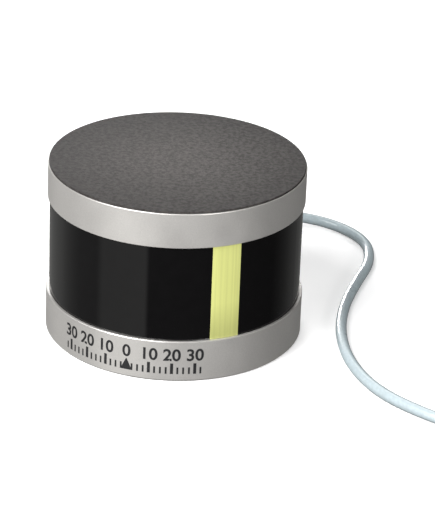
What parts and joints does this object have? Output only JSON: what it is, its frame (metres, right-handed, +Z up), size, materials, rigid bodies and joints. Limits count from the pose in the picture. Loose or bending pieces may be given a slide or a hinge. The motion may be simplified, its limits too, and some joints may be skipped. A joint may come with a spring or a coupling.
{
  "type": "lidar scanner module",
  "caption": "Puck-shaped spinning laser scanner: round housing with a dark window band, turning optical head on ball bearings, and a signal lead with a screw-lock plug.",
  "frame": {"origin": "centre of the round underside, on the spin axis", "axes": "+Z up along the spin axis; -Y is the front, halfway round from the lead; the lead leaves towards +Y"},
  "size_m": [0.2354, 0.1663, 0.0717],
  "materials": {
    "silver": "bead-blasted and clear anodised",
    "top_grey": "fine textured dark grey",
    "window_black": "polished infrared-pass plastic, black to the eye",
    "film_lime": "smooth coloured film",
    "black_plastic": "moulded",
    "black_metal": "black anodised",
    "machined": "machined",
    "steel": "plain",
    "bearing_steel": "ground",
    "black_screw": "black oxide",
    "rubber_black": "moulded",
    "board_green": "solder mask",
    "copper": "enamelled winding wire",
    "ferrite": "sintered",
    "magnet": "nickel plated",
    "lens_glass": "coated",
    "mirror_front": "front surface",
    "brass": "plain",
    "gold": "gold plated",
    "cage_nylon": "moulded nylon",
    "jacket_blue": "pale blue-grey polyurethane",
    "nickel": "nickel plated"
  },
  "bodies": {
    "housing": {"base_board": "board_green", "base_board_capacitors": "steel", "base_board_chips": "black_plastic", "base_housing": "silver", "base_screws": "black_screw", "bearing_inner_rings": "bearing_steel", "board_screws": "black_screw", "board_standoffs": "brass", "cable_coil": "jacket_blue", "cable_gland": "nickel", "cable_lead": "jacket_blue", "cable_tail": "jacket_blue", "cap_screw": "steel", "encoder_reader": "black_plastic", "flange_screws": "black_screw", "gland_seal": "rubber_black", "lead_socket": "black_plastic", "lead_wires": "jacket_blue", "plug_grip": "black_plastic", "plug_insert": "black_plastic", "plug_pins": "gold", "preload_washer": "steel", "shaft": "machined", "shaft_nut": "steel", "stator_core": "steel", "stator_windings": "copper", "strain_relief": "rubber_black", "top_cap": "silver", "top_disc": "top_grey", "transformer_fixed_coil": "copper", "transformer_fixed_core": "ferrite", "window": "window_black", "window_film": "film_lime", "window_o_rings": "rubber_black"},
    "rotor": {"turntable": "machined", "rotor_magnets": "magnet", "encoder_disc": "nickel", "upper_deck": "machined", "deck_posts": "brass", "deck_screws": "black_screw", "counterweight": "brass", "optics_housing": "black_metal", "transmit_lens": "lens_glass", "receive_lens": "lens_glass", "lens_retainers": "black_metal", "fold_mirrors": "mirror_front", "laser_board": "board_green", "detector_board": "board_green", "laser_diodes": "gold", "detector_diodes": "gold", "processor_board": "board_green", "processor_chips": "black_plastic", "transformer_turning_core": "ferrite", "transformer_turning_coil": "copper", "bearing_outer_rings": "bearing_steel"},
    "lower_bearing": {"lower_balls": "bearing_steel", "lower_ball_cage": "cage_nylon"},
    "upper_bearing": {"upper_balls": "bearing_steel", "upper_ball_cage": "cage_nylon"},
    "coupling_nut": {"plug_nut": "nickel"}
  },
  "joints": [
    {"name": "rotor_spin", "type": "hinge", "parent": "housing", "child": "rotor", "pos_m": [0, 0, 0.0377], "axis": [0, 0, 1], "continuous": true},
    {"name": "lower_bearing_spin", "type": "hinge", "parent": "housing", "child": "lower_bearing", "pos_m": [0, 0, 0.0218], "axis": [0, 0, 1], "continuous": true},
    {"name": "upper_bearing_spin", "type": "hinge", "parent": "housing", "child": "upper_bearing", "pos_m": [0, 0, 0.052], "axis": [0, 0, 1], "continuous": true},
    {"name": "coupling_nut_spin", "type": "hinge", "parent": "housing", "child": "coupling_nut", "pos_m": [0.10969, 0.05815, 0.0075], "axis": [-0.8094, 0.5872, 0], "continuous": true}
  ],
  "couplings": [
    {"joint": "lower_bearing_spin", "follows": "rotor_spin", "ratio": 0.5721},
    {"joint": "upper_bearing_spin", "follows": "rotor_spin", "ratio": 0.5721}
  ]
}
